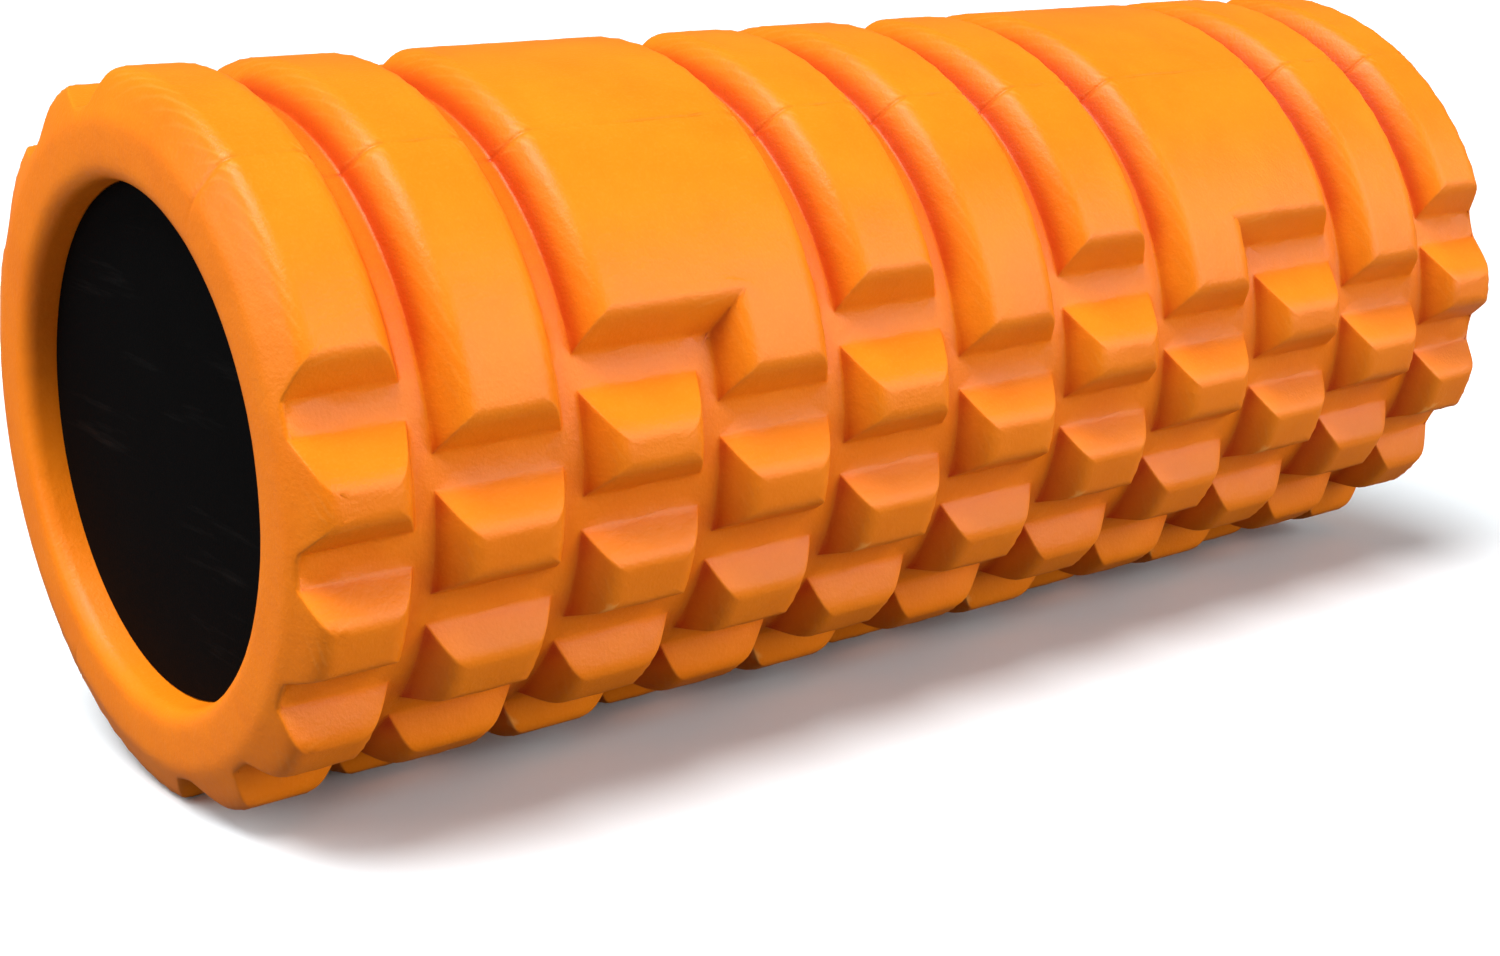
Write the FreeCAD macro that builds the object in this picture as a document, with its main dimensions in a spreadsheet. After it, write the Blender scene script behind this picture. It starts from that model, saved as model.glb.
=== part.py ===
"""A foam roller: a moulded foam sleeve with a block tread, bonded on a stiff tube with a cap in each end.

Every sub-part is drawn about its own X axis, centred on X = 0, with the sleeve's moulding seam at +Z.
Its Placement then lifts it by the outer radius, so that the roller lies on Z = 0, and turns it about X.
"""
import FreeCAD, Part
import math
import os
import Sketcher
from FreeCAD import Placement, Rotation, Vector

# ---------------------------------------------------------------- driving dimensions, millimetres and degrees
DIMENSIONS = {
    "outer_radius": 70.0,        # over the ridges
    "floor_radius": 63.4,        # at the bottom of the grooves and gaps
    "bore_radius": 49.5,
    "sleeve_length": 330.0,
    "ridge_pitch": 31.0,         # from one ridge to the next along the roller
    "ridge_top": 18.8,           # width of a ridge over its outer face
    "ridge_base": 27.0,          # width of a ridge at the groove floor
    "end_bevel": 3.5,            # how far the end walls lean in by the outer radius
    "bevel_foot": 61.0,          # radius where the end wall starts to lean
    "bore_bevel": 1.5,
    "gap_floor": 6.2,            # length of the gap between two blocks at its floor
    "gap_mouth": 18.8,           # length of the same gap at the outer radius
    "edge_block_lean": 3.6,      # how much more an edge ridge's first block leans away from the seam
    "middle_block_lean": 1.8,    # the same for a middle ridge's first block
    "place_step": 23.6,          # from one block to the next around a ridge
    "seam_turn": 31.5,           # turn of the middle of the long bands from the top, about X
    "cap_recess": 7.0,           # from the sleeve's end face to the cap's face
    "tube_radius": 49.2,
    "tube_wall": 4.2,
    "cap_plate": 3.0,
    "spigot_radius": 44.9,
    "spigot_wall": 2.4,
    "spigot_length": 14.0,
    "rib_width": 2.0,
    "rib_height": 9.0,
    "hub_radius": 9.0,
}
RIB_COUNT = 6
EDGE_RIDGES = 6                  # the ridges that start at the sleeve's ends: 1, 3, 5, 7, 9, 11
MIDDLE_RIDGES = 5                # the ridges between them: 2, 4, 6, 8, 10

# Gaps on one side of the seam, in block places from the middle between the two seams.
# The first and last gap end a long band.
EDGE_RIDGE_GAPS = [-2.0, -1.0, 0.0, 1.0, 2.0]
MIDDLE_RIDGE_GAPS = [-1.5, -0.5, 0.5, 1.5]

doc = FreeCAD.newDocument("foam_roller")
sheet = doc.addObject("Spreadsheet::Sheet", "dims")
for row, (alias, value) in enumerate(DIMENSIONS.items(), start=1):
    sheet.set(f"A{row}", alias)
    sheet.set(f"B{row}", str(value))
    sheet.setAlias(f"B{row}", alias)
doc.recompute()


# ---------------------------------------------------------------- helpers
def new_body(label):
    body = doc.addObject("PartDesign::Body", label)
    body.Label = label
    return body


def origin_feature(body, role):
    return next(item for item in body.Origin.OriginFeatures if item.Role == role)


def new_sketch(body, name, plane):
    sketch = body.newObject("Sketcher::SketchObject", name)
    sketch.AttachmentSupport = [(origin_feature(body, plane), "")]
    sketch.MapMode = "FlatFace"
    return sketch


def pin_point(sketch, edge, point, formulas):
    """Fix one end of an edge at the place that two spreadsheet formulas give."""
    for kind, formula in zip(("DistanceX", "DistanceY"), formulas):
        here = sketch.getPoint(edge, point)
        start = here.x if kind == "DistanceX" else here.y
        number = sketch.addConstraint(Sketcher.Constraint(kind, -1, 1, edge, point, start))
        sketch.setExpression(f"Constraints[{number}]", formula)


def value_of(formula):
    return float(sheet.evalExpression(formula))


def closed_outline(sketch, corners):
    """A closed outline of straight lines through corners, each a pair of spreadsheet formulas."""
    places = [Vector(value_of(x), value_of(y), 0) for x, y in corners]
    first = sketch.GeometryCount
    for here, there in zip(places, places[1:] + places[:1]):
        sketch.addGeometry(Part.LineSegment(here, there), False)
    for step in range(len(places)):
        following = first + (step + 1) % len(places)
        sketch.addConstraint(Sketcher.Constraint("Coincident", first + step, 2, following, 1))
        pin_point(sketch, first + step, 1, corners[step])


def revolve(body, sketch, name, kind="PartDesign::Revolution"):
    feature = body.newObject(kind, name)
    feature.Profile = sketch
    feature.ReferenceAxis = (origin_feature(body, "X_Axis"), [""])
    feature.Angle = 360.0
    body.Tip = feature
    doc.recompute()
    return feature


def extrude(body, sketch, name, length, kind):
    """A pad or pocket that runs the same distance to both sides of its sketch."""
    feature = body.newObject(kind, name)
    feature.Profile = sketch
    feature.Midplane = True
    feature.setExpression("Length", length)
    body.Tip = feature
    doc.recompute()
    return feature


def repeat_along(body, feature, name, count, length):
    pattern = body.newObject("PartDesign::LinearPattern", name)
    pattern.Originals = [feature]
    pattern.Direction = (origin_feature(body, "X_Axis"), [""])
    pattern.Occurrences = count
    pattern.setExpression("Length", length)
    body.Tip = pattern
    doc.recompute()
    return pattern


def mirror_ends(body, features, name):
    mirror = body.newObject("PartDesign::Mirrored", name)
    mirror.Originals = features
    mirror.MirrorPlane = (origin_feature(body, "YZ_Plane"), [""])
    body.Tip = mirror
    doc.recompute()
    return mirror


def place(body, turn="0"):
    """Lay the piece on Z = 0 and turn it about its own axis."""
    body.Placement = Placement(Vector(0, 0, value_of("dims.outer_radius")), Rotation(Vector(1, 0, 0), 0))
    body.setExpression("Placement.Base.z", "dims.outer_radius")
    body.setExpression("Placement.Rotation.Angle", turn)


# ---------------------------------------------------------------- foam sleeve
# how much a gap widens, on each side, for every millimetre further out
WALL_SLOPE = "((dims.gap_mouth - dims.gap_floor) / 2 / (dims.outer_radius - dims.floor_radius))"


def gap_turn(side, step):
    """How far round from the middle of the long bands a gap is, on one side of them."""
    return f"({side} * (90 + ({step}) * dims.place_step))"


def gap_corners(turn, lower_lean, upper_lean):
    """The outline of a gap, looking along X: a tapered notch, turned round from the top.

    lower_lean and upper_lean widen its mouth at its two sides, at the outer radius.
    """
    top = "(dims.outer_radius + 2)"
    half_floor = "(dims.gap_floor / 2)"
    rise = f"({top} - dims.floor_radius)"
    half_top = f"({half_floor} + {WALL_SLOPE} * {rise})"
    spread = f"{rise} / (dims.outer_radius - dims.floor_radius)"
    local = [
        (f"(-{half_floor})", "dims.floor_radius"),
        (f"(-{half_top} - {lower_lean} * {spread})", top),
        (f"({half_top} + {upper_lean} * {spread})", top),
        (half_floor, "dims.floor_radius"),
    ]
    return [
        (f"-({out}) * sin({turn}) - ({along}) * cos({turn})", f"({out}) * cos({turn}) - ({along}) * sin({turn})")
        for along, out in local
    ]


def draw_gaps(sketch, places, first_lean):
    """The gaps of one ridge, the same on both sides of the seam.

    The first and last block lean further away from the band beside them, so that they leave the mould.
    """
    for side in (1, -1):
        for number, step in enumerate(places):
            away = first_lean if number == 0 else "0"
            back = first_lean if number == len(places) - 1 else "0"
            lower, upper = (back, away) if side == 1 else (away, back)
            closed_outline(sketch, gap_corners(gap_turn(side, step), lower, upper))


def draw_band_fill(sketch, side):
    """The piece of tread that joins two neighbouring bands, with the same sloping ends as the bands."""
    turn = gap_turn(1, EDGE_RIDGE_GAPS[0])
    offset = f"(dims.gap_floor / 2 - {WALL_SLOPE} * dims.floor_radius)"
    arcs = []
    for radius in ("dims.outer_radius", "(dims.floor_radius - 1)"):
        # where the sloping end wall, a straight line, meets the circle of this radius
        root = f"sqrt((1 + {WALL_SLOPE} ^ 2) * {radius} ^ 2 - {offset} ^ 2)"
        out = f"(({root} - {WALL_SLOPE} * {offset}) / (1 + {WALL_SLOPE} ^ 2))"
        along = f"({offset} + {WALL_SLOPE} * {out})"
        reach = f"({out} * sin({turn}) - {along} * cos({turn}))"
        size = value_of(radius)
        half = math.asin(value_of(reach) / size)
        circle = Part.Circle(Vector(0, 0, 0), Vector(0, 0, 1), size)
        middle = side * math.pi / 2
        arc = sketch.addGeometry(Part.ArcOfCircle(circle, middle - half, middle + half), False)
        sketch.addConstraint(Sketcher.Constraint("Coincident", arc, 3, -1, 1))
        number = sketch.addConstraint(Sketcher.Constraint("Radius", arc, size))
        sketch.setExpression(f"Constraints[{number}]", radius)
        for point, sign in ((1, side), (2, -side)):
            number = sketch.addConstraint(
                Sketcher.Constraint("DistanceX", -1, 1, arc, point, sign * value_of(reach)))
            sketch.setExpression(f"Constraints[{number}]", f"{sign} * {reach}")
        arcs.append(arc)
    outer, inner = arcs
    for point in (1, 2):
        line = sketch.addGeometry(Part.LineSegment(sketch.getPoint(outer, point), sketch.getPoint(inner, point)))
        sketch.addConstraint(Sketcher.Constraint("Coincident", line, 1, outer, point))
        sketch.addConstraint(Sketcher.Constraint("Coincident", line, 2, inner, point))


def make_foam_sleeve():
    body = new_body("foam_sleeve")
    half = "(dims.sleeve_length / 2)"

    # the plain sleeve, up to the groove floor, with a small bevel at each mouth of the bore
    section = new_sketch(body, "sleeve_section", "XZ_Plane")
    closed_outline(section, [
        (f"-({half} - dims.bore_bevel)", "dims.bore_radius"),
        (f"({half} - dims.bore_bevel)", "dims.bore_radius"),
        (half, "dims.bore_radius + dims.bore_bevel"),
        (half, "dims.floor_radius"),
        (f"-{half}", "dims.floor_radius"),
        (f"-{half}", "dims.bore_radius + dims.bore_bevel"),
    ])
    revolve(body, section, "sleeve_tube")

    # one ridge all the way round, then its ten copies
    first_ridge = "(-5 * dims.ridge_pitch)"
    ridge = new_sketch(body, "ridge_section", "XZ_Plane")
    closed_outline(ridge, [
        (f"{first_ridge} - dims.ridge_base / 2", "dims.floor_radius"),
        (f"{first_ridge} - dims.ridge_base / 2", "dims.floor_radius - 1"),
        (f"{first_ridge} + dims.ridge_base / 2", "dims.floor_radius - 1"),
        (f"{first_ridge} + dims.ridge_base / 2", "dims.floor_radius"),
        (f"{first_ridge} + dims.ridge_top / 2", "dims.outer_radius"),
        (f"{first_ridge} - dims.ridge_top / 2", "dims.outer_radius"),
    ])
    first = revolve(body, ridge, "ridge")
    repeat_along(body, first, "ridges", EDGE_RIDGES + MIDDLE_RIDGES, "10 * dims.ridge_pitch")

    # the end walls lean in towards the outer radius
    bevel = new_sketch(body, "end_bevel_section", "XZ_Plane")
    lean = "(dims.end_bevel / (dims.outer_radius - dims.bevel_foot))"
    closed_outline(bevel, [
        (f"-{half}", "dims.bevel_foot"),
        (f"-{half} + {lean} * (dims.outer_radius + 2 - dims.bevel_foot)", "dims.outer_radius + 2"),
        (f"-{half} - 5", "dims.outer_radius + 2"),
        (f"-{half} - 5", "dims.bevel_foot"),
    ])
    near_bevel = revolve(body, bevel, "near_bevel", "PartDesign::Groove")
    mirror_ends(body, [near_bevel], "end_bevels")

    # the gaps that cut the ridges into blocks, staggered by half a place from ridge to ridge
    for name, places, first_lean, ridges in (
        ("edge_ridge", EDGE_RIDGE_GAPS, "dims.edge_block_lean", EDGE_RIDGES),
        ("middle_ridge", MIDDLE_RIDGE_GAPS, "dims.middle_block_lean", MIDDLE_RIDGES),
    ):
        sketch = new_sketch(body, f"{name}_gap_outline", "YZ_Plane")
        sketch.setExpression("AttachmentOffset.Base.z", f"-{ridges - 1} * dims.ridge_pitch")
        draw_gaps(sketch, places, first_lean)
        doc.recompute()
        gaps = extrude(body, sketch, f"{name}_gaps", "dims.ridge_pitch", "PartDesign::Pocket")
        repeat_along(body, gaps, f"{name}_all_gaps", ridges, f"{2 * (ridges - 1)} * dims.ridge_pitch")

    # bands 3 and 4, and bands 8 and 9, are joined into one wide band at each seam
    fill = new_sketch(body, "wide_band_outline", "YZ_Plane")
    fill.setExpression("AttachmentOffset.Base.z", "-2.5 * dims.ridge_pitch")
    for side in (1, -1):
        draw_band_fill(fill, side)
    doc.recompute()
    near_fill = extrude(body, fill, "near_wide_band", "dims.ridge_pitch - dims.ridge_top + 1", "PartDesign::Pad")
    mirror_ends(body, [near_fill], "wide_bands")
    place(body, "dims.seam_turn")
    return body


# ---------------------------------------------------------------- core tube
def make_core_tube():
    body = new_body("core_tube")
    section = new_sketch(body, "tube_section", "XZ_Plane")
    half = "(dims.sleeve_length / 2 - dims.cap_recess - dims.cap_plate)"
    closed_outline(section, [
        (f"-{half}", "dims.tube_radius - dims.tube_wall"),
        (half, "dims.tube_radius - dims.tube_wall"),
        (half, "dims.tube_radius"),
        (f"-{half}", "dims.tube_radius"),
    ])
    revolve(body, section, "tube_wall")
    place(body)
    return body


# ---------------------------------------------------------------- end caps
def make_end_cap(label, end):
    """A flat disc over the tube's end, with a spigot that plugs the tube and ribs that stiffen the disc."""
    body = new_body(label)
    face = f"({end} * (dims.sleeve_length / 2 - dims.cap_recess))"
    back = f"({face} - {end} * dims.cap_plate)"
    spigot_end = f"({back} - {end} * dims.spigot_length)"
    section = new_sketch(body, "cap_section", "XZ_Plane")
    closed_outline(section, [
        (face, "0"),
        (face, "dims.tube_radius"),
        (back, "dims.tube_radius"),
        (back, "dims.spigot_radius"),
        (spigot_end, "dims.spigot_radius"),
        (spigot_end, "dims.spigot_radius - dims.spigot_wall"),
        (back, "dims.spigot_radius - dims.spigot_wall"),
        (back, "0"),
    ])
    revolve(body, section, "cap_disc")

    rib_middle = f"({back} - {end} * dims.rib_height / 2)"
    hub = new_sketch(body, "hub_outline", "YZ_Plane")
    hub.setExpression("AttachmentOffset.Base.z", rib_middle)
    circle = hub.addGeometry(Part.Circle(Vector(0, 0, 0), Vector(0, 0, 1), DIMENSIONS["hub_radius"]), False)
    hub.addConstraint(Sketcher.Constraint("Coincident", circle, 3, -1, 1))
    number = hub.addConstraint(Sketcher.Constraint("Radius", circle, DIMENSIONS["hub_radius"]))
    hub.setExpression(f"Constraints[{number}]", "dims.hub_radius")
    extrude(body, hub, "hub", "dims.rib_height", "PartDesign::Pad")

    outline = new_sketch(body, "rib_outline", "YZ_Plane")
    outline.setExpression("AttachmentOffset.Base.z", rib_middle)
    tip = "(dims.spigot_radius - dims.spigot_wall / 2)"
    closed_outline(outline, [
        ("-dims.rib_width / 2", "dims.hub_radius / 2"),
        ("dims.rib_width / 2", "dims.hub_radius / 2"),
        ("dims.rib_width / 2", tip),
        ("-dims.rib_width / 2", tip),
    ])
    rib = extrude(body, outline, "rib", "dims.rib_height", "PartDesign::Pad")
    ribs = body.newObject("PartDesign::PolarPattern", "ribs")
    ribs.Originals = [rib]
    ribs.Axis = (origin_feature(body, "X_Axis"), [""])
    ribs.Angle = 360.0
    ribs.Occurrences = RIB_COUNT
    body.Tip = ribs
    doc.recompute()
    place(body)
    return body


# ---------------------------------------------------------------- build, check and write
pieces = [
    make_foam_sleeve(),
    make_core_tube(),
    make_end_cap("end_cap_near", -1),
    make_end_cap("end_cap_far", 1),
]
doc.recompute()

for item in doc.Objects:
    if "Invalid" in item.State or "Error" in item.State:
        raise RuntimeError(f"{item.Name} did not build: {item.State}")

os.makedirs("parts", exist_ok=True)
for piece in pieces:
    shape = piece.Shape
    if shape.isNull() or not shape.isValid() or len(shape.Solids) != 1:
        raise RuntimeError(f"{piece.Label} is not one valid solid")
    shape.exportStep(f"parts/{piece.Label}.step")
    box = shape.BoundBox
    print(f"{piece.Label}: {shape.Volume / 1000:.1f} cm3, {len(shape.Faces)} faces,",
          f"X {box.XMin:.1f} to {box.XMax:.1f}, Y {box.YMin:.1f} to {box.YMax:.1f},",
          f"Z {box.ZMin:.1f} to {box.ZMax:.1f}")
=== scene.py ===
"""A foam roller on a pale studio floor: a moulded foam sleeve on a black tube with a cap in each end."""
import bpy
import bmesh
import math
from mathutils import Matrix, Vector


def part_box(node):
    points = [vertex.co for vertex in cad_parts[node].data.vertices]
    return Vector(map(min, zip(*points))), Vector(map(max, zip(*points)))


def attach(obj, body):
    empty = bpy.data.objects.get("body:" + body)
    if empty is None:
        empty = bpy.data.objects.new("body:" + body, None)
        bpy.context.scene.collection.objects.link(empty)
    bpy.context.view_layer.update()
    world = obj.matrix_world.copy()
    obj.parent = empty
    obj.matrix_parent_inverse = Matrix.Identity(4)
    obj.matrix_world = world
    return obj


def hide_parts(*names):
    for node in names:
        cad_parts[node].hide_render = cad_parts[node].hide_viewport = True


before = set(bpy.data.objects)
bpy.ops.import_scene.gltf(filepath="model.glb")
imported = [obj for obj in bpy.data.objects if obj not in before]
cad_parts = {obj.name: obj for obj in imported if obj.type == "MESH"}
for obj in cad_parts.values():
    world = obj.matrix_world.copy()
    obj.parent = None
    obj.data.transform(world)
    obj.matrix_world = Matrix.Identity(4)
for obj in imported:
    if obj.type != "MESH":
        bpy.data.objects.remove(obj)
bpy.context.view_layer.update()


# ---- Camera ---------------------------------------------------------------------------------------------
# A moderate lens close to the roller, level, from the near end's side and a little above it.
camera_data = bpy.data.cameras.new("camera")
camera_data.lens = 55.6
camera_data.sensor_width = 36.0
camera_data.dof.use_dof = False
camera = bpy.data.objects.new("camera", camera_data)
camera.location = (-0.3342, -0.3971, 0.1786)
camera_heading = math.radians(38.586)
camera_dip = math.radians(15.335)
camera.rotation_euler = (math.pi / 2 - camera_dip, 0.0, -camera_heading)
bpy.context.collection.objects.link(camera)
bpy.context.scene.camera = camera


# ---- Foam sleeve ----------------------------------------------------------------------------------------
# One compression-moulded piece of closed-cell foam with a satin skin. Eleven ridges run round it. Away
# from the two parting lines each ridge is cut into tapered blocks, staggered from ridge to ridge, and
# across the parting lines the ridges stay whole. The sleeve is bonded on the tube.
sleeve_low, sleeve_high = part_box("foam_sleeve")
tube_low, tube_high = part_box("core_tube")
sleeve_middle = (sleeve_high + sleeve_low) / 2
sleeve_half = (sleeve_high.x - sleeve_low.x) / 2
ridge_radius = (sleeve_high.y - sleeve_low.y) / 2
ridge_height = 0.0066
floor_radius = ridge_radius - ridge_height
glue_gap = 0.0003
bore_radius = (tube_high.y - tube_low.y) / 2 + glue_gap
half_round = math.pi * floor_radius
ridge_count = 11
ridge_pitch = 0.031
ridge_foot = 0.0270
ridge_lean = 0.0041
end_lean = 0.0035
place_degrees = 23.6
place_length = half_round * place_degrees / 180
gap_foot = 0.0062
gap_lean = 0.0054
first_block_lean = (0.0031, 0.0015)
lean_reach = 0.020
tread_turn = math.radians(31.5)
joined_ridges = ((2, 3), (7, 8))
end_foot = 0.0610
end_cut = 0.0020
rim_reach = 0.0011
longest_step = 0.0070
corner_round = 0.0034
floor_inset = 0.0012
parting_offset = 0.0029
parting_lines = (-parting_offset, half_round - parting_offset)
parting_half = 0.0005
parting_depth = 0.0004
parting_stop = 0.0580
touching = 1e-6
# how a raised area rises: a share of its full height, and how much further in its edges come there, along
# the roller and round it
rise_stages = (
    (0.10, (0.0, 0.0)), (0.66, (0.0, 0.0)), (0.89, (0.0005, 0.0)), (1.0, (0.0018, 0.0008)),
    (1.0, (0.0040, 0.0020)))
# how each end turns in from its rim to the bore: a radius, and how far behind the end's flat face it lies
end_turns = (
    (0.0618, 0.0003), (0.0604, 0.0), (0.0580, 0.0), (0.0533, 0.0), (0.0518, 0.0003), (0.0503, 0.0012),
    (bore_radius, 0.0031), (bore_radius, 0.0060))


def ridge_middle(ridge):
    return (ridge - (ridge_count - 1) / 2) * ridge_pitch


def first_gap(ridge):
    """How far round a ridge's first gap is from the middle of its band."""
    return half_round / 2 - (2.0 if ridge % 2 == 0 else 1.5) * place_length


def raised_spans(ridge):
    """Where a ridge stands up, round the flat tread: two bands, and the blocks between them."""
    end = first_gap(ridge) - gap_foot / 2
    spans = [(-end, end), (half_round - end, half_round + end), (-half_round - end, end - half_round)]
    for block in range(4 - ridge % 2):
        low = first_gap(ridge) + block * place_length + gap_foot / 2
        high = low + place_length - gap_foot
        spans += [(low, high), (-high, -low)]
    return spans


def ridge_span(ridge):
    """Where the foot of a ridge starts and ends along the roller."""
    low, high = ridge_middle(ridge) - ridge_foot / 2, ridge_middle(ridge) + ridge_foot / 2
    return max(low, -sleeve_half), min(high, sleeve_half)


def raised_areas():
    """Every raised area of the flat tread, as its span along the roller and its span around it."""
    for ridge in range(ridge_count):
        for span in raised_spans(ridge):
            yield ridge_span(ridge), span
    for first, second in joined_ridges:
        low, high = ridge_span(first)[0], ridge_span(second)[1]
        short = first if first % 2 == 0 else second
        inner = (low, ridge_span(second)[0]) if short == first else (ridge_span(first)[1], high)
        for span in raised_spans(short)[:3]:
            yield inner, span


areas = list(raised_areas())


def within(value, span, slack=touching):
    return span[0] - slack < value < span[1] + slack


def lean_in(foot, share, extra):
    """Where a point of a raised area's foot goes, at a share of the full height.

    The area's edges lean inwards as they rise, with the extra on top, and what is between them draws
    together with them.
    """
    mine = [area for area in areas if within(foot.x, area[0]) and within(foot.y, area[1])]
    place = Vector((foot.x, foot.y, ridge_height * share))
    around = min((area[1] for area in mine), key=lambda span: min(foot.y - span[0], span[1] - foot.y))
    inside = [area[0] for area in mine if within(foot.y, area[1], -touching)] or [area[0] for area in mine]
    along = (min(span[0] for span in inside), max(span[1] for span in inside))
    for axis, span, more in (("x", along, extra[0]), ("y", around, extra[1])):
        value = getattr(foot, axis)
        leans = [lean_at(axis, edge, direction, share) + more for edge, direction in zip(span, (1, -1))]
        for edge, direction, lean in zip(span, (1, -1), leans):
            reach = min(lean_reach, (span[1] - span[0]) * lean / sum(leans))
            depth = abs(value - edge)
            if depth < reach:
                setattr(place, axis, getattr(place, axis) + direction * lean * (1 - depth / reach))
    return place


def lean_at(axis, edge, direction, share):
    """How far in one edge of a raised area has come at a share of the full height."""
    if axis == "y":
        return share * max(block_lean(ridge_kind, edge, direction) for ridge_kind in (0, 1))
    if abs(edge) > sleeve_half - touching:
        return end_lean_at(ridge_height * share)
    return share * ridge_lean


def block_lean(ridge_kind, edge, direction):
    """How far the end of a block or band leans in: a first block leans more where it faces its band."""
    side = abs(edge) if abs(edge) < half_round / 2 else half_round - abs(edge)
    facing = (direction > 0) == (edge > 0) if abs(edge) < half_round / 2 else (direction > 0) == (edge < 0)
    if facing and abs(side - first_gap(ridge_kind) - gap_foot / 2) < touching:
        return gap_lean + first_block_lean[ridge_kind]
    return gap_lean


def end_lean_at(height):
    """How far the end's wall leans in, at a height over the tread's floor."""
    return end_lean * (height + floor_radius - end_foot) / (ridge_radius - end_foot)


# the flat tread, with one parting line close to its middle and the other close to one of its long edges
tread = bmesh.new()
bmesh.ops.create_grid(tread, x_segments=1, y_segments=1, size=1.0)
bmesh.ops.scale(tread, vec=(sleeve_half, half_round, 1.0), verts=tread.verts)


def cut_tread(place, normal):
    """Cut the whole flat tread at a place, square to a direction."""
    everything = tread.verts[:] + tread.edges[:] + tread.faces[:]
    bmesh.ops.bisect_plane(tread, geom=everything, plane_co=place, plane_no=normal, dist=1e-7)


for ridge in range(ridge_count):
    for place in (*ridge_span(ridge), ridge_middle(ridge)):
        if abs(place) < sleeve_half - touching:
            cut_tread((place, 0, 0), (1, 0, 0))
for side in (-1, 1):
    cut_tread((side * (sleeve_half - end_cut), 0, 0), (1, 0, 0))
round_cuts = {0.0, half_round}
for ridge in (0, 1):
    round_cuts.update(abs(edge) for span in raised_spans(ridge) for edge in span if abs(edge) < half_round)
for low, high in zip(sorted(round_cuts), sorted(round_cuts)[1:]):
    parts = math.ceil((high - low) / longest_step)
    round_cuts.update(low + (high - low) * part / parts for part in range(1, parts))
for place in sorted(round_cuts - {half_round}):
    cut_tread((0, place, 0), (0, 1, 0))
    cut_tread((0, -place, 0), (0, 1, 0))
for line in parting_lines:
    for place in (line - parting_half, line, line + parting_half):
        cut_tread((0, place, 0), (0, 1, 0))

# raise the bands and blocks in steps: a tight turn at the foot, the wall, and a full round at the crest
foot_place = tread.verts.layers.float_vector.new("foot_place")
for vert in tread.verts:
    vert[foot_place] = vert.co
tops = [face for face in tread.faces
        if any(within(face.calc_center_median().x, along) and within(face.calc_center_median().y, around)
               for along, around in areas)]
for share, extra in rise_stages:
    risen = bmesh.ops.extrude_face_region(tread, geom=tops)["geom"]
    bmesh.ops.delete(tread, geom=tops, context="FACES_ONLY")
    tops = [item for item in risen if isinstance(item, bmesh.types.BMFace)]
    for vert in {vert for face in tops for vert in face.verts}:
        vert.co = lean_in(vert[foot_place], share, extra)
for vert in tread.verts:
    if vert.co.z == 0.0 and abs(vert.co.x) > sleeve_half - touching:
        vert.co.x = math.copysign(sleeve_half - end_lean_at(0.0), vert.co.x)

# the walls that rose along the two long edges would be inside the foam once the tread is closed
at_seam = [face for face in tread.faces if all(abs(vert.co.y) > half_round - touching for vert in face.verts)]
bmesh.ops.delete(tread, geom=at_seam, context="FACES")

# round the corners of the bands and blocks where their walls meet
corners = [(x, y) for along, around in areas for x in along for y in around]


def is_corner_edge(edge):
    """Whether an edge stands on a corner of a raised area, where two of its walls meet."""
    first, second = edge.verts
    foot = first[foot_place]
    if (foot - second[foot_place]).length > touching:
        return False
    return any(abs(foot.x - x) < touching and abs(foot.y - y) < touching for x, y in corners)


bmesh.ops.bevel(
    tread, geom=[edge for edge in tread.edges if is_corner_edge(edge)], offset=corner_round,
    offset_type="OFFSET", segments=2, profile=0.5, affect="EDGES", clamp_overlap=True, material=-1)

# a narrow rim inside each groove floor keeps its turn up into the walls tight
floors = [face for face in tread.faces if all(vert.co.z == 0.0 for vert in face.verts)]
bmesh.ops.inset_region(
    tread, faces=floors, thickness=floor_inset, use_boundary=False, use_even_offset=True)

# each parting line is a fine crease that the two mould halves leave
for vert in tread.verts:
    if min(abs(vert.co.y - line) for line in parting_lines) < touching:
        vert.co.z -= parting_depth

# each end turns in from the rim to a flat face and round the mouth of the bore
for side in (-1, 1):
    rim = [edge for edge in tread.edges
           if edge.is_boundary and all(vert.co.x * side > sleeve_half - rim_reach for vert in edge.verts)
           and any(abs(vert.co.y) < half_round - touching for vert in edge.verts)]
    for radius, depth in end_turns:
        rim = bmesh.ops.extrude_edge_only(tread, edges=rim)["geom"]
        ring = [item for item in rim if isinstance(item, bmesh.types.BMVert)]
        rim = [item for item in rim if isinstance(item, bmesh.types.BMEdge)]
        for vert in ring:
            creased = radius > parting_stop and min(abs(vert.co.y - line) for line in parting_lines) < touching
            vert.co.z = radius - floor_radius
            vert.co.x = side * (sleeve_half - depth - (parting_depth if creased else 0.0))

# roll it up, close it where its long edges meet, and join the two ends through the bore
for vert in tread.verts:
    turn = vert.co.y / floor_radius - tread_turn
    out = floor_radius + vert.co.z
    vert.co = Vector((vert.co.x, out * math.sin(turn), out * math.cos(turn))) + sleeve_middle
bmesh.ops.remove_doubles(tread, verts=tread.verts, dist=touching)
bore = [edge for edge in tread.edges if edge.is_boundary]
bmesh.ops.bridge_loops(tread, edges=bore)
bmesh.ops.recalc_face_normals(tread, faces=tread.faces)
sleeve_mesh = bpy.data.meshes.new("foam_sleeve_tread")
tread.to_mesh(sleeve_mesh)
tread.free()
sleeve = bpy.data.objects.new("foam_sleeve_tread", sleeve_mesh)
bpy.context.collection.objects.link(sleeve)
sleeve_mesh.shade_smooth()
rounding = sleeve.modifiers.new("rounding", "SUBSURF")
rounding.levels = 1
rounding.render_levels = 1
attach(sleeve, "root")
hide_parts("foam_sleeve")

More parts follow.
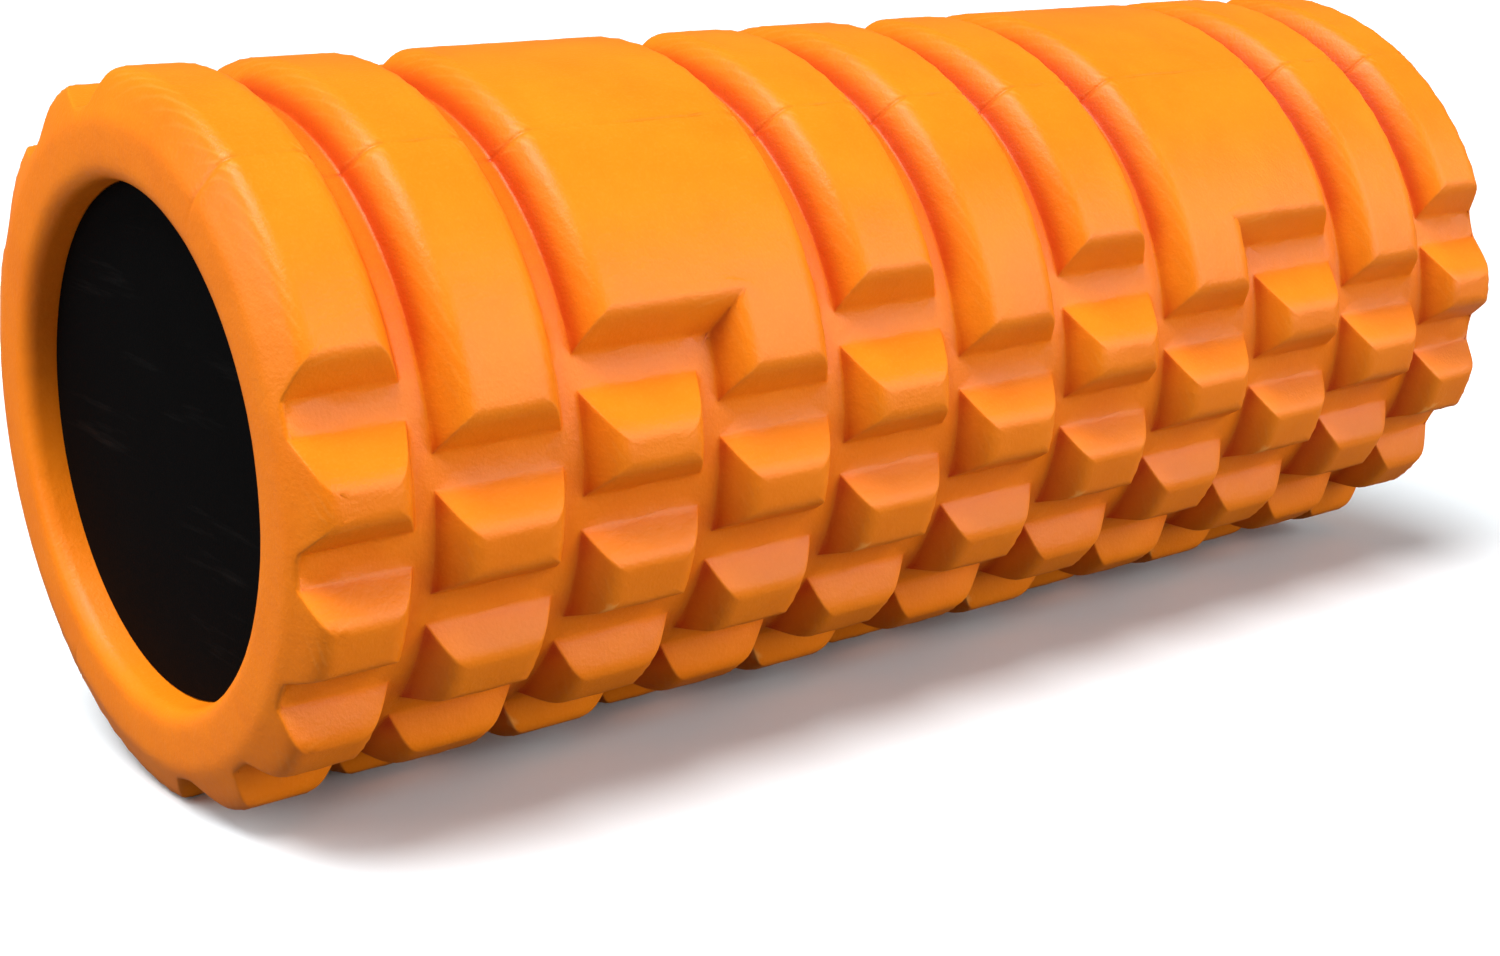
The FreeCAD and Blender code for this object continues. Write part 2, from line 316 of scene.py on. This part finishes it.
# the fine grain that a moulded or extruded surface keeps: a height for bump, and a slow mottle
grain = bpy.data.node_groups.new("fine_grain", "ShaderNodeTree")
for socket_name in ("Grain Scale", "Mottle Scale"):
    grain.interface.new_socket(socket_name, in_out="INPUT", socket_type="NodeSocketFloat")
grain.interface.new_socket("Vector", in_out="INPUT", socket_type="NodeSocketVector")
for socket_name in ("Height", "Mottle"):
    grain.interface.new_socket(socket_name, in_out="OUTPUT", socket_type="NodeSocketFloat")
grain_in, grain_out = grain.nodes.new("NodeGroupInput"), grain.nodes.new("NodeGroupOutput")
for output, scale, detail in (("Height", "Grain Scale", 3.0), ("Mottle", "Mottle Scale", 4.0)):
    speckle = grain.nodes.new("ShaderNodeTexNoise")
    speckle.inputs["Detail"].default_value = detail
    speckle.inputs["Roughness"].default_value = 0.6
    grain.links.new(grain_in.outputs["Vector"], speckle.inputs["Vector"])
    grain.links.new(grain_in.outputs[scale], speckle.inputs["Scale"])
    grain.links.new(speckle.outputs["Fac"], grain_out.inputs[output])


def add_grain(nodes, links, grain_scale, mottle_scale, stretch=(1.0, 1.0, 1.0)):
    """A fine_grain group in a material, on Object coordinates that are stretched as asked."""
    place = nodes.new("ShaderNodeTexCoord")
    stretched = nodes.new("ShaderNodeMapping")
    stretched.inputs["Scale"].default_value = stretch
    grained = nodes.new("ShaderNodeGroup")
    grained.node_tree = grain
    grained.inputs["Grain Scale"].default_value = grain_scale
    grained.inputs["Mottle Scale"].default_value = mottle_scale
    links.new(place.outputs["Object"], stretched.inputs["Vector"])
    links.new(stretched.outputs["Vector"], grained.inputs["Vector"])
    return grained


def add_range(nodes, links, value, low, high, from_low=0.0, from_high=1.0):
    """The value, spread from one range on to another."""
    spread = nodes.new("ShaderNodeMapRange")
    limits = (("From Min", from_low), ("From Max", from_high), ("To Min", low), ("To Max", high))
    for socket_name, number in limits:
        spread.inputs[socket_name].default_value = number
    links.new(value, spread.inputs["Value"])
    return spread.outputs["Result"]


def add_mix(nodes, links, mask, first, second):
    """One colour mixed into another by a mask. A colour is a plain one or a socket."""
    mix = nodes.new("ShaderNodeMix")
    mix.data_type = "RGBA"
    links.new(mask, mix.inputs["Factor"])
    for socket_name, colour in (("A", first), ("B", second)):
        if isinstance(colour, tuple):
            mix.inputs[socket_name].default_value = colour
        else:
            links.new(colour, mix.inputs[socket_name])
    return mix.outputs["Result"]


def add_bump(nodes, links, height, strength, distance, normal=None):
    """A bump from a height, on top of another bump's normal if there is one."""
    bump = nodes.new("ShaderNodeBump")
    bump.inputs["Strength"].default_value = strength
    bump.inputs["Distance"].default_value = distance
    links.new(height, bump.inputs["Height"])
    if normal:
        links.new(normal, bump.inputs["Normal"])
    return bump.outputs["Normal"]


# a satin orange skin, a little uneven in colour, with painted shade that darkens it deep in the grooves and a
# painted highlight that pales it along the crests
foam_colours = ((0.90, 0.204, 0.003, 1), (0.96, 0.238, 0.004, 1))
speckle_colour = (1.0, 0.34, 0.04, 1)
painted_groove_shade_colour = (0.56, 0.040, 0.001, 1)
crest_highlight_colour = (1.0, 0.38, 0.07, 1)
painted_shade_reach = 0.010
foam = bpy.data.materials.new("orange_foam")
foam.use_nodes = True
nodes, links = foam.node_tree.nodes, foam.node_tree.links
foam_shader = nodes["Principled BSDF"]
foam_shader.inputs["Specular IOR Level"].default_value = 0.22
skin = add_grain(nodes, links, 1500.0, 45.0)
uneven = add_mix(nodes, links, add_range(nodes, links, skin.outputs["Mottle"], 0.0, 1.0, 0.32, 0.68),
                 *foam_colours)
speckled = add_mix(nodes, links, add_range(nodes, links, skin.outputs["Height"], 0.0, 0.16, 0.50, 0.72),
                   uneven, speckle_colour)
# painted shade: where ambient occlusion finds the foam hemmed in, deep in the grooves and at the feet of the
# walls, the colour turns a dark red that stands in for shade
shelter = nodes.new("ShaderNodeAmbientOcclusion")
shelter.samples = 8
shelter.only_local = True
shelter.inputs["Distance"].default_value = painted_shade_reach
painted_shade_mask = add_range(nodes, links, shelter.outputs["AO"], 0.92, 0.0, 0.60, 0.84)
with_painted_shade = add_mix(nodes, links, painted_shade_mask, speckled, painted_groove_shade_colour)
# painted highlight: on sharp convex crests the colour turns paler, standing in for the highlight lines that
# light draws along them
crest = nodes.new("ShaderNodeNewGeometry")
painted_crest_highlight = add_range(nodes, links, crest.outputs["Pointiness"], 0.0, 0.80, 0.525, 0.60)
links.new(add_mix(nodes, links, painted_crest_highlight, with_painted_shade, crest_highlight_colour), foam_shader.inputs["Base Color"])
links.new(add_range(nodes, links, skin.outputs["Mottle"], 0.34, 0.50), foam_shader.inputs["Roughness"])
dimpled = add_grain(nodes, links, 420.0, 160.0)
soft_normal = add_bump(nodes, links, dimpled.outputs["Mottle"], 0.25, 0.0008)
fine_normal = add_bump(nodes, links, skin.outputs["Height"], 0.30, 0.00025, soft_normal)
links.new(fine_normal, foam_shader.inputs["Normal"])
sleeve_mesh.materials.append(foam)


# ---- Core tube ------------------------------------------------------------------------------------------
# A stiff extruded black plastic tube that fills the sleeve's bore and carries the load. The foam is glued
# to it. Faint lines from the die run along it, and it is a little shinier than the discs.
tube_black = bpy.data.materials.new("extruded_black_plastic")
tube_black.use_nodes = True
nodes, links = tube_black.node_tree.nodes, tube_black.node_tree.links
tube_shader = nodes["Principled BSDF"]
drawn = add_grain(nodes, links, 900.0, 220.0, stretch=(0.03, 1.0, 1.0))
links.new(add_mix(nodes, links, drawn.outputs["Mottle"], (0.006, 0.006, 0.006, 1), (0.013, 0.013, 0.014, 1)),
          tube_shader.inputs["Base Color"])
links.new(add_range(nodes, links, drawn.outputs["Mottle"], 0.30, 0.50), tube_shader.inputs["Roughness"])
links.new(add_bump(nodes, links, drawn.outputs["Height"], 0.25, 0.0002), tube_shader.inputs["Normal"])
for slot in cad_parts["core_tube"].material_slots:
    slot.material = tube_black


# ---- End caps -------------------------------------------------------------------------------------------
# Two flat moulded discs of matt black plastic, each with a spigot that presses into the tube until the disc
# meets its end. The outer face has a fine spark texture and a few faint scuffs from being stood on end.
cap_black = bpy.data.materials.new("matt_black_plastic")
cap_black.use_nodes = True
nodes, links = cap_black.node_tree.nodes, cap_black.node_tree.links
cap_shader = nodes["Principled BSDF"]
cap_shader.inputs["Specular IOR Level"].default_value = 0.03
textured = add_grain(nodes, links, 1800.0, 35.0)
scuffed = add_grain(nodes, links, 1200.0, 190.0, stretch=(1.0, 0.12, 1.4))
scuffs = add_range(nodes, links, scuffed.outputs["Mottle"], 0.0, 0.5, 0.60, 0.74)
worn = add_mix(nodes, links, textured.outputs["Mottle"],
               (0.0014, 0.0014, 0.0015, 1), (0.0028, 0.0028, 0.0030, 1))
links.new(add_mix(nodes, links, scuffs, worn, (0.006, 0.006, 0.006, 1)), cap_shader.inputs["Base Color"])
links.new(add_range(nodes, links, scuffs, 0.72, 0.50, 0.0, 0.5), cap_shader.inputs["Roughness"])
links.new(add_bump(nodes, links, textured.outputs["Height"], 0.35, 0.00015), cap_shader.inputs["Normal"])
for cap in ("end_cap_near", "end_cap_far"):
    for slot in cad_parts[cap].material_slots:
        slot.material = cap_black


# ---- Studio ---------------------------------------------------------------------------------------------
# A table top that runs out of sight, a broad light from above, a weaker one in front, and a small softbox
# off the near end. The table looks white to the camera and throws light back as a grey one would.
table_radius = 30.0
light_target = (0, 0, 0.07)
floor_bmesh = bmesh.new()
bmesh.ops.create_circle(floor_bmesh, cap_ends=True, segments=64, radius=table_radius)
floor_mesh = bpy.data.meshes.new("table_top")
floor_bmesh.to_mesh(floor_mesh)
floor_bmesh.free()
floor = bpy.data.objects.new("table_top", floor_mesh)
bpy.context.collection.objects.link(floor)
table_white = bpy.data.materials.new("table_white")
table_white.use_nodes = True
nodes, links = table_white.node_tree.nodes, table_white.node_tree.links
table_shader = nodes["Principled BSDF"]
table_shader.inputs["Roughness"].default_value = 0.7
table_shader.inputs["Specular IOR Level"].default_value = 0.2
ray = nodes.new("ShaderNodeLightPath")
shade = nodes.new("ShaderNodeMix")
shade.data_type = "RGBA"
shade.inputs["A"].default_value = (0.15, 0.15, 0.15, 1)
shade.inputs["B"].default_value = (0.91, 0.97, 1.0, 1)
links.new(ray.outputs["Is Camera Ray"], shade.inputs["Factor"])
links.new(shade.outputs["Result"], table_shader.inputs["Base Color"])
floor_mesh.materials.append(table_white)


def aim(light, place):
    """Put a light at a place, facing the middle of the roller."""
    light.location = place
    light.rotation_euler = (Vector(light_target) - Vector(place)).to_track_quat("-Z", "Y").to_euler()
    bpy.context.collection.objects.link(light)


def broad_light(name, place, strength, spread):
    """A very large, far light: its strength is in watts per square metre and its spread in degrees."""
    light_data = bpy.data.lights.new(name, "SUN")
    light_data.energy = strength
    light_data.angle = math.radians(spread)
    aim(bpy.data.objects.new(name, light_data), place)


def softbox(name, place, width, height, watts):
    """A rectangle of light close by, so that it fades along the roller: its sides are in metres."""
    light_data = bpy.data.lights.new(name, "AREA")
    light_data.shape = "RECTANGLE"
    light_data.size = width
    light_data.size_y = height
    light_data.energy = watts
    aim(bpy.data.objects.new(name, light_data), place)


broad_light("overhead_light", (-0.34, -0.06, 1.0), 3.8, 36)
broad_light("front_light", (0.70, -1.00, 0.50), 2.3, 45)
softbox("end_softbox", (-0.48, 0.08, 0.22), 0.20, 0.20, 0.55)

# the surroundings look white to the camera and light the roller only weakly
world = bpy.data.worlds.new("studio")
bpy.context.scene.world = world
world.use_nodes = True
nodes, links = world.node_tree.nodes, world.node_tree.links
nodes["Background"].inputs["Color"].default_value = (1, 1, 1, 1)
ray = nodes.new("ShaderNodeLightPath")
dimmer = nodes.new("ShaderNodeMapRange")
dimmer.inputs["To Min"].default_value = 0.13
dimmer.inputs["To Max"].default_value = 1.0
links.new(ray.outputs["Is Camera Ray"], dimmer.inputs["Value"])
links.new(dimmer.outputs["Result"], nodes["Background"].inputs["Strength"])
bpy.context.scene.view_settings.view_transform = "Standard"
